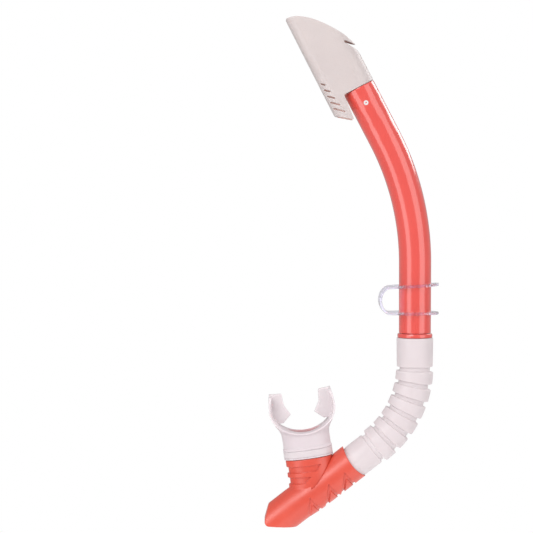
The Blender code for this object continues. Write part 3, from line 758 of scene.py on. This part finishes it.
def guard_pin(node, side):
    """A pin through the tube's wall and the insert, with a dimpled head."""
    surface = TUBE_TOP_RADIUS + 0.35
    outline = [(INSERT_BORE + 0.2, 1.3), (surface - 0.5, 1.3), (surface - 0.5, 1.92), (surface - 0.25, 2.0),
               (surface - 0.05, 1.9), (surface, 1.7), (surface, 1.05), (surface - 0.3, 0.75),
               (surface - 0.6, 0.3)]
    sides = 48
    turns = [2.0 * pi * i / sides for i in range(sides)]
    a, b = PIN_AT
    rings = [[GUARD.at(a + r * cos(t), b + r * sin(t), side * y) for t in turns] for y, r in outline]
    pin = skin(node + "_head", rings)
    finish(pin, node, PALE_GLOSS)
    ride(pin, node)


def tube_adapter():
    top = -GAP
    foot = top - FLANGE_HEIGHT
    inner = TUBE_FOOT_RADIUS - TUBE_WALL - GAP
    outline = [(UPPER_SPIGOT, inner, 0.4), (UPPER_SPIGOT, ADAPTER_BORE, 0.4),
               (foot - LOWER_SPIGOT, ADAPTER_BORE, 0.4), (foot - LOWER_SPIGOT, SPIGOT_RADIUS, 0.4),
               (foot, SPIGOT_RADIUS, 0.0), (foot, FLANGE_RADIUS - 0.2, 0.4), (foot + 1.4, FLANGE_RADIUS, 1.0),
               (top, FLANGE_RADIUS - 0.3, 0.9), (top, inner, 0.0)]
    collar = Plane((TUBE_X, TUBE_FOOT_Z), 90.0)
    rings = [ellipse(collar, r, r, s) for s, r in rounded(outline)]
    adapter = skin("hose_adapter", rings, closed=True)
    finish(adapter, "tube_adapter", CORAL_GLOSS)
    ride(adapter, "tube_adapter")


def flex_hose():
    straight = HOSE_RUNS[0][0]
    middle_radius = 0.5 * (CUFF_TOP_RADIUS + CUFF_END_RADIUS)
    outside = [(0.0, CUFF_TOP_RADIUS - 0.1, 0.7), (straight * 0.5, middle_radius, 0.0),
               (straight, CUFF_END_RADIUS, 0.7)]
    for number in range(RIB_COUNT):
        rib = straight + (RIB_PITCH - RIB_WIDTH) + number * RIB_PITCH
        outside += [(rib - 3.5, GROOVE_RADIUS, 0.7), (rib - 0.5, GROOVE_RADIUS + 0.1, 0.7),
                    (rib, RIB_RADIUS - 0.1, 0.6), (rib + 0.5 * RIB_WIDTH, RIB_RADIUS, 0.0),
                    (rib + RIB_WIDTH, RIB_RADIUS, 0.8)]
    cuff = straight + RIB_COUNT * RIB_PITCH + RIB_PITCH - RIB_WIDTH
    shoulder = HOSE_VISIBLE - 0.9
    end = HOSE_VISIBLE + NECK_LENGTH
    outside += [(cuff - 3.5, GROOVE_RADIUS, 0.7), (cuff - 0.5, GROOVE_RADIUS + 0.1, 0.7),
                (cuff, LOWER_CUFF_RADIUS - 0.1, 0.7), (shoulder, LOWER_CUFF_RADIUS - 0.1, 0.3),
                (shoulder, NECK_RADIUS, 0.0), (end, NECK_RADIUS, 0.5)]
    spigot_end = LOWER_SPIGOT + 2.0 * GAP
    ferrule_start = HOSE_VISIBLE - 1.5
    inside = [(end, FERRULE_RADIUS + GAP, 0.4), (ferrule_start, FERRULE_RADIUS + GAP, 0.2),
              (ferrule_start, HOSE_BORE, 0.2), (spigot_end, HOSE_BORE, 0.2),
              (spigot_end, SPIGOT_RADIUS + GAP, 0.2), (0.0, SPIGOT_RADIUS + GAP, 0.5)]
    profile = with_steps(rounded(outside + inside), 2.0)
    hose = swept("hose", on_hose, profile)
    # Painted light in the grooves: 1 in a groove and 0 on a rib, for a lighter colour in place of light
    # soaking through the thinner walls.
    rib_edge = RIB_RADIUS - 0.4
    shares = [(rib_edge - r) / (rib_edge - GROOVE_RADIUS) if s < cuff else 0.0 for s, r in profile]
    mark_painted_lift(hose, [share for share in shares for side in range(SIDES)])
    finish(hose, "flex_hose", HOSE_SILICONE, 70.0)
    start = on_hose(straight).at(0.0, 0.0) * MM
    BARREL.at(0.0, -22.5) * MM
    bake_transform(hose)


def hose_ferrule():
    start, lip = -1.2, NECK_LENGTH + GAP
    outline = [(start, FERRULE_RADIUS, 0.3), (start, FERRULE_BORE, 0.3), (lip + 1.4, FERRULE_BORE, 0.3),
               (lip + 1.4, NECK_RADIUS, 0.4), (lip, NECK_RADIUS, 0.3), (lip, FERRULE_RADIUS, 0.2)]
    ferrule = skin("ferrule", [ellipse(BARREL, r, r, s) for s, r in rounded(outline)], closed=True)
    finish(ferrule, "hose_ferrule", PALE_SATIN)
    ride(ferrule, "hose_ferrule")


def chevron_outline(apex):
    """A chevron's groove on the barrel: two legs from the apex, each CHEVRON_WIDTH wide."""
    lengths = [hypot(*leg) for leg in CHEVRON_LEGS]
    units = [(leg[0] / n, leg[1] / n) for leg, n in zip(CHEVRON_LEGS, lengths)]
    opening = units[0][0] * units[1][1] - units[0][1] * units[1][0]
    step = CHEVRON_WIDTH / abs(opening)
    inner = tuple(apex[i] + step * (units[0][i] + units[1][i]) for i in (0, 1))
    feet = [(apex[0] + leg[0], apex[1] + leg[1]) for leg in CHEVRON_LEGS]
    inner_feet = [(foot[0] + step * other[0], foot[1] + step * other[1])
                  for foot, other in zip(feet, units[::-1])]
    return [apex, feet[0], inner_feet[0], inner, inner_feet[1], feet[1]]


def barrel_skin(name, sections):
    return skin(name, [ellipse(BARREL, r, r, along, offset) for along, offset, r in sections])


def groove_core(name, radius):
    """What a groove's tool leaves standing of the barrel."""
    return barrel_skin(name, ((-5.0, BARREL_OFFSET, radius), (75.0, BARREL_OFFSET, radius)))


def chamber_body():
    body = barrel_skin("housing", BARREL_SECTIONS)
    corner = arc((FOOT_LEFT[0] - 0.1, FACE_FOOT[1] - 0.2), 3.7, 3.7, 180.0, 268.0, 12)
    end_outline = [FACE_TOP] + corner + [FOOT_RIGHT, (0.0, -100.0)]
    combine(body, slab("end_outline", UPRIGHT, end_outline, 20.0), "INTERSECT")
    combine(body, oval("port_wall", PORT, ((-PORT_DEPTH, PORT_SEMI), (0.0, PORT_SEMI))), "UNION")
    melt(body, 0.4, 3)
    spigot_levels = ((-4.0, PORT_SPIGOT_SEMI), (PORT_SPIGOT_LENGTH, PORT_SPIGOT_SEMI))
    combine(body, oval("port_spigot", PORT, spigot_levels), "UNION", "MANIFOLD")
    for outline in PORT_RECESSES:
        recess = slab("port_recess", PORT, outline, 16.0)
        core_levels = ((-PORT_DEPTH - 2.0, PORT_RECESS_SEMI), (2.0, PORT_RECESS_SEMI))
        combine(recess, oval("port_core", PORT, core_levels))
        combine(body, recess, "DIFFERENCE", "MANIFOLD")
    outer = (PORT_SEMI[0] + CREASE_WIDTH, PORT_SEMI[1] + CREASE_WIDTH)
    crease = oval("crease", PORT, ((-PORT_DEPTH, outer), (4.0, outer)))
    combine(crease, oval("crease_wall", PORT, ((-PORT_DEPTH - 2.0, PORT_SEMI), (6.0, PORT_SEMI))))
    combine(crease, groove_core("crease_floor", CREASE_FLOOR_RADIUS))
    reach = ((CREASE_START, -40.0), (25.0, -40.0), (25.0, 8.0), (CREASE_START, 8.0))
    combine(crease, slab("crease_reach", PORT, reach, 18.0), "INTERSECT")
    combine(body, crease, "DIFFERENCE", "MANIFOLD")
    for apex in CHEVRONS:
        groove = slab("chevron", BARREL, chevron_outline(apex), 17.0)
        combine(groove, groove_core("chevron_core", CHEVRON_FLOOR_RADIUS))
        combine(body, groove, "DIFFERENCE", "MANIFOLD")
    mouth = arc((BARREL_OFFSET, MOUTH_DIP - MOUTH_ARC), MOUTH_ARC, MOUTH_ARC, 66.0, 114.0, 24)
    combine(body, slab("mouth_arc", BARREL, mouth, 18.0), "DIFFERENCE", "MANIFOLD")
    socket = ((-2.0, 0.0, SOCKET_RADIUS), (SOCKET_DEPTH, 0.0, SOCKET_RADIUS))
    combine(body, barrel_skin("hose_socket", socket), "DIFFERENCE", "MANIFOLD")
    bore = barrel_skin("barrel_bore", BORE_SECTIONS)
    floor_left, floor_right = PURGE.at(16.0, -FLOOR_HEIGHT), PURGE.at(-70.0, -FLOOR_HEIGHT)
    inner_face = [(FACE_FOOT[0] + END_WALL, FACE_FOOT[1]), (FACE_TOP[0] + END_WALL, FACE_TOP[1])]
    share = (floor_left.z - inner_face[0][1]) / (inner_face[1][1] - inner_face[0][1])
    face_on_floor = inner_face[0][0] + share * (inner_face[1][0] - inner_face[0][0])
    room = [(face_on_floor, floor_left.z), (floor_right.x, floor_right.z), (0.0, -100.0), inner_face[1]]
    combine(bore, slab("bore_room", UPRIGHT, room, 18.0), "INTERSECT")
    combine(body, bore, "DIFFERENCE", "MANIFOLD")
    port_bore = oval("port_bore", PORT, ((-28.0, PORT_BORE_SEMI), (20.0, PORT_BORE_SEMI)))
    combine(body, port_bore, "DIFFERENCE", "MANIFOLD")
    seat_back = SEAT_FACE - SEAT_THICKNESS - GAP
    throat = ((-FLOOR_HEIGHT - 4.0, PURGE_THROAT), (seat_back, PURGE_THROAT),
              (seat_back, COUNTERBORE), (3.0, COUNTERBORE))
    combine(body, turned("purge_throat", PURGE, throat), "DIFFERENCE", "MANIFOLD")
    melt(body, 0.26, 3, 0.22)
    finish(body, "chamber_body", CORAL_SATIN, 60.0)
    ride(body, "chamber_body")


def purge_valve_seat():
    outline = [(SEAT_FACE - SEAT_THICKNESS, STEM_RADIUS + GAP, 0.1), (SEAT_FACE, STEM_RADIUS + GAP, 0.1),
               (SEAT_FACE, PURGE_RADIUS, 0.3), (SEAT_FACE - SEAT_THICKNESS, PURGE_RADIUS, 0.3)]
    seat = skin("valve_seat", [ellipse(PURGE, r, r, s) for s, r in rounded(outline)], closed=True)
    for number in range(SEAT_WINDOWS):
        start = 360.0 / SEAT_WINDOWS * number + 12.0
        sector = arc((0.0, 0.0), SEAT_OPENING, SEAT_OPENING, start, start + 96.0, 24)
        sector += arc((0.0, 0.0), HUB_RADIUS, HUB_RADIUS, start + 84.0, start + 12.0, 12)
        window = plate("seat_window", PURGE, sector, SEAT_FACE - SEAT_THICKNESS - 1.0, SEAT_FACE + 1.0)
        combine(seat, window)
    finish(seat, "purge_valve_seat", PALE_SATIN)
    ride(seat, "purge_valve_seat")


def purge_valve_flap():
    face = SEAT_FACE + GAP
    bulb = SEAT_FACE - SEAT_THICKNESS - FLAP_TRAVEL - GAP
    profile = ((bulb - 1.3, 0.3), (bulb - 1.2, 0.6), (bulb - 0.8, 1.1), (bulb - 0.4, 1.4), (bulb - 0.1, 1.4),
               (bulb, 1.3), (bulb, STEM_RADIUS), (face, STEM_RADIUS), (face, FLAP_RADIUS - 0.1),
               (face + 0.1, FLAP_RADIUS), (face + 0.35, FLAP_RADIUS - 0.05), (face + 0.5, FLAP_RADIUS - 0.3),
               (face + 0.8, 4.2), (face + 1.1, 2.0), (face + 1.3, 0.8), (face + 1.32, 0.2))
    flap = turned("valve_flap", PURGE, profile)
    finish(flap, "purge_valve_flap", SILICONE)
    ride(flap, "purge_valve_flap")


def purge_cover():
    foot = SEAT_FACE + GAP
    outline = [(foot, COVER_RING, 0.2), (foot, PURGE_RADIUS, 0.3), (0.0, PURGE_RADIUS, 0.6)]
    profile = rounded(outline)[:-1] + [(0.0, PURGE_RADIUS - 0.5)]
    cover = turned("valve_cover", PURGE, profile)
    combine(cover, turned("cover_room", PURGE, ((foot - 2.0, COVER_RING), (-COVER_PLATE, COVER_RING))))
    for number, reach in enumerate(COVER_SLOT_REACHES):
        left = COVER_SLOT_PITCH * (number - 1) - COVER_SLOT_HALF_WIDTH
        right = COVER_SLOT_PITCH * (number - 1) + COVER_SLOT_HALF_WIDTH
        corners = [(left, -reach, 0.9), (right, -reach, 0.9), (right, reach, 0.9), (left, reach, 0.9)]
        combine(cover, plate("cover_slot", PURGE, rounded(corners, 6), -COVER_PLATE - 1.0, 2.0))
    finish(cover, "purge_cover", CORAL_SATIN)
    ride(cover, "purge_cover")


def lip_flange_line():
    """The middle line of the lip flange's wall, from the tip of one arm round to the other."""
    bowl = arc((0.0, FLANGE_CENTRE), FLANGE_SEMI[0], FLANGE_SEMI[1], 0.0, -180.0, 60)
    return [ARM_TIP, ARM_BEND] + bowl + [(-ARM_BEND[0], ARM_BEND[1]), (-ARM_TIP[0], ARM_TIP[1])]


def mouthpiece():
    levels = ((GAP, LIP_SEMI), (CHANNEL[0], LIP_SEMI), (CHANNEL[0], CHANNEL_SEMI), (CHANNEL[1], CHANNEL_SEMI),
              (CHANNEL[1], LIP_SEMI), (LIP_TOP, LIP_SEMI), (LIP_TOP + 1.0, NECK_SEMI), *NECK_FLARE)
    body = oval("bite_piece", PORT, levels)
    line = lip_flange_line()
    combine(body, slab("lip_flange", PORT, ribbon(line, FLANGE_WALL), FLANGE_HALF_HEIGHT), "UNION")
    rings = []
    for y, wall in FLANGE_WALLS:
        inner = ribbon(line, FLANGE_WALL - THINNING * (1.0 - wall))[len(line) + 1:-1]
        rings.append([PORT.at(a, b, y) for a, b in inner])
    combine(body, skin("mouth_room", rings))
    for side in (-1.0, 1.0):
        outline = [(side * a, b) for a, b in TAB]
        combine(body, slab("tab", PORT, outline, TAB_HALF_HEIGHT), "UNION")
    combine(body, oval("airway", PORT, ((10.0, AIRWAY_SEMI), (AIRWAY_TOP, AIRWAY_SEMI))))
    sleeve = (PORT_SPIGOT_SEMI[0] + GAP, PORT_SPIGOT_SEMI[1] + GAP)
    combine(body, oval("sleeve", PORT, ((-3.0, sleeve), (PORT_SPIGOT_LENGTH + GAP, sleeve))))
    melt(body, 0.36, 7, 0.5)
    start = PORT.at(0.0, 0.0)
    ahead = PORT.at(0.0, 1.0) - start
    places = [(vert.co / MM - start).dot(ahead) for vert in body.data.vertices]
    # Painted light: the lip flange and arms get a lighter colour, in place of the light that their shaded
    # faces miss.
    mark_painted_lift(body, [(along - LIFT_START) / LIFT_RUN for along in places])
    finish(body, "mouthpiece", MOUTH_SILICONE, 60.0)
    ride(body, "mouthpiece")


def mouthpiece_tie():
    inner = [semi + 0.1 for semi in CHANNEL_SEMI]
    start, end = CHANNEL[0] + 0.1, CHANNEL[1] - 0.1
    outline = [(start, 0.0, 0.2), (end, 0.0, 0.2), (end, 1.15, 0.35), (start, 1.15, 0.35)]
    rings = [ellipse(PORT, inner[0] + out, inner[1] + out, along) for along, out in rounded(outline)]
    tie = skin("neck_tie", rings, closed=True)
    corners = [(-3.0, start, 0.8), (3.0, start, 0.8), (3.0, end, 0.8), (-3.0, end, 0.8)]
    combine(tie, slab("tie_head", PORT, rounded(corners), 1.9, inner[1] + 2.6), "UNION")
    finish(tie, "mouthpiece_tie", SILICONE)
    ride(tie, "mouthpiece_tie")


def snorkel_keeper():
    bend = arc((0.0, 0.0), KEEPER_BEND, KEEPER_HALF_HEIGHT, 270.0, 90.0, 40)
    line = [(KEEPER_TIP[0], -KEEPER_HALF_HEIGHT)] + bend + [KEEPER_TIP]
    keeper = slab("strap_keeper", UPRIGHT, ribbon(line, KEEPER_STRIP), KEEPER_HALF_WIDTH + 2.0)
    tip = KEEPER_TIP[0] - TUBE_X
    plan = arc((TUBE_X, 0.0), tip, KEEPER_HALF_WIDTH, -90.0, 90.0, 48)
    far_side = [(14.0, KEEPER_HALF_WIDTH), KEEPER_SHOULDER, (-4.0, KEEPER_BEND_HALF_WIDTH),
                (-14.0, KEEPER_BEND_HALF_WIDTH)]
    plan += far_side + [(x, -y) for x, y in far_side[::-1]]
    combine(keeper, plate("keeper_plan", UPRIGHT, plan, -20.0, 20.0), "INTERSECT")
    hole = turned("keeper_hole", Plane((TUBE_X, 0.0), 90.0), ((-22.0, KEEPER_HOLE), (22.0, KEEPER_HOLE)))
    combine(keeper, hole)
    melt(keeper, 0.35, 8, 0.5)
    finish(keeper, "snorkel_keeper", CLEAR, 60.0)
    ride(keeper, "snorkel_keeper")


# Floor, light and camera

def studio():
    """Soft light from all around, in a room that the camera sees as plain white."""
    world = bpy.data.worlds.new("studio")
    bpy.context.scene.world = world
    world.use_nodes = True
    tree = world.node_tree
    lit = tree.nodes["Background"]
    lit.inputs["Color"].default_value = (1.0, 0.985, 0.985, 1.0)
    lit.inputs["Strength"].default_value = ROOM_LIGHT
    seen = add_node(tree, "ShaderNodeBackground", strength=1.0)
    seen.inputs["Color"].default_value = (1.0, 1.0, 1.0, 1.0)
    path = add_node(tree, "ShaderNodeLightPath")
    straight_on = add_node(tree, "ShaderNodeMath", operation="MAXIMUM")
    tree.links.new(path.outputs["Is Camera Ray"], straight_on.inputs[0])
    tree.links.new(path.outputs["Is Transmission Ray"], straight_on.inputs[1])
    mix = add_node(tree, "ShaderNodeMixShader")
    tree.links.new(straight_on.outputs["Value"], mix.inputs["Fac"])
    tree.links.new(lit.outputs["Background"], mix.inputs[1])
    tree.links.new(seen.outputs["Background"], mix.inputs[2])
    tree.links.new(mix.outputs["Shader"], tree.nodes["World Output"].inputs["Surface"])
    bpy.context.scene.view_settings.view_transform = "Standard"


def floor():
    bm = bmesh.new()
    bmesh.ops.create_circle(bm, cap_ends=True, segments=128, radius=FLOOR_RADIUS)
    made = add_object("floor", bm)
    made.location.z = cad_low.z - FLOOR_DROP
    paint, tree, shader = new_material("floor_paint")
    place = add_node(tree, "ShaderNodeTexCoord").outputs["Object"]
    tone = noise(tree, place, 3.0, 2.0)
    tree.links.new(blended(tree, tone, (0.93, 0.93, 0.93), (0.95, 0.95, 0.95)), shader.inputs["Base Color"])
    shader.inputs["Roughness"].default_value = 0.9
    shader.inputs["Emission Color"].default_value = (1.0, 1.0, 1.0, 1.0)
    shader.inputs["Emission Strength"].default_value = 0.3
    made.data.materials.append(paint)


def soft_box(name, azimuth, elevation, size, power):
    """A rectangular lamp that looks at the snorkel's middle. Azimuth 0 is the camera's side and 90 the
    snorkel's +X side."""
    lamp = bpy.data.lights.new(name, "AREA")
    lamp.shape = "RECTANGLE"
    lamp.size, lamp.size_y = size
    lamp.energy = power
    made = bpy.data.objects.new(name, lamp)
    a, e = radians(azimuth), radians(elevation)
    away = Vector((sin(a) * cos(e), -cos(a) * cos(e), sin(e)))
    made.location = (cad_low + cad_high) / 2 + away * LAMP_DISTANCE
    made.rotation_euler = (-away).to_track_quat("-Z", "Y").to_euler()
    bpy.context.scene.collection.objects.link(made)


def camera():
    """The camera stands a little above the snorkel's middle, and the snorkel lies right of the picture's
    centre."""
    data = bpy.data.cameras.new("camera")
    made = bpy.data.objects.new("camera", data)
    bpy.context.scene.collection.objects.link(made)
    elevation = radians(CAMERA_ELEVATION)
    away = Vector((0.0, -cos(elevation), sin(elevation)))
    made.location = CAMERA_TARGET + away * CAMERA_DISTANCE
    made.rotation_euler = (-away).to_track_quat("-Z", "Y").to_euler()
    data.sensor_width = SENSOR_WIDTH
    data.lens = SENSOR_WIDTH * CAMERA_DISTANCE / VIEW_WIDTH
    bpy.context.scene.camera = made


main_tube()
splash_guard_shell()
splash_guard_insert()
guard_pin("guard_pin_near", -1.0)
guard_pin("guard_pin_far", 1.0)
tube_adapter()
flex_hose()
hose_ferrule()
chamber_body()
purge_valve_seat()
purge_valve_flap()
purge_cover()
mouthpiece()
mouthpiece_tie()
snorkel_keeper()

studio()
floor()
for lamp in LAMPS:
    soft_box(*lamp)
camera()
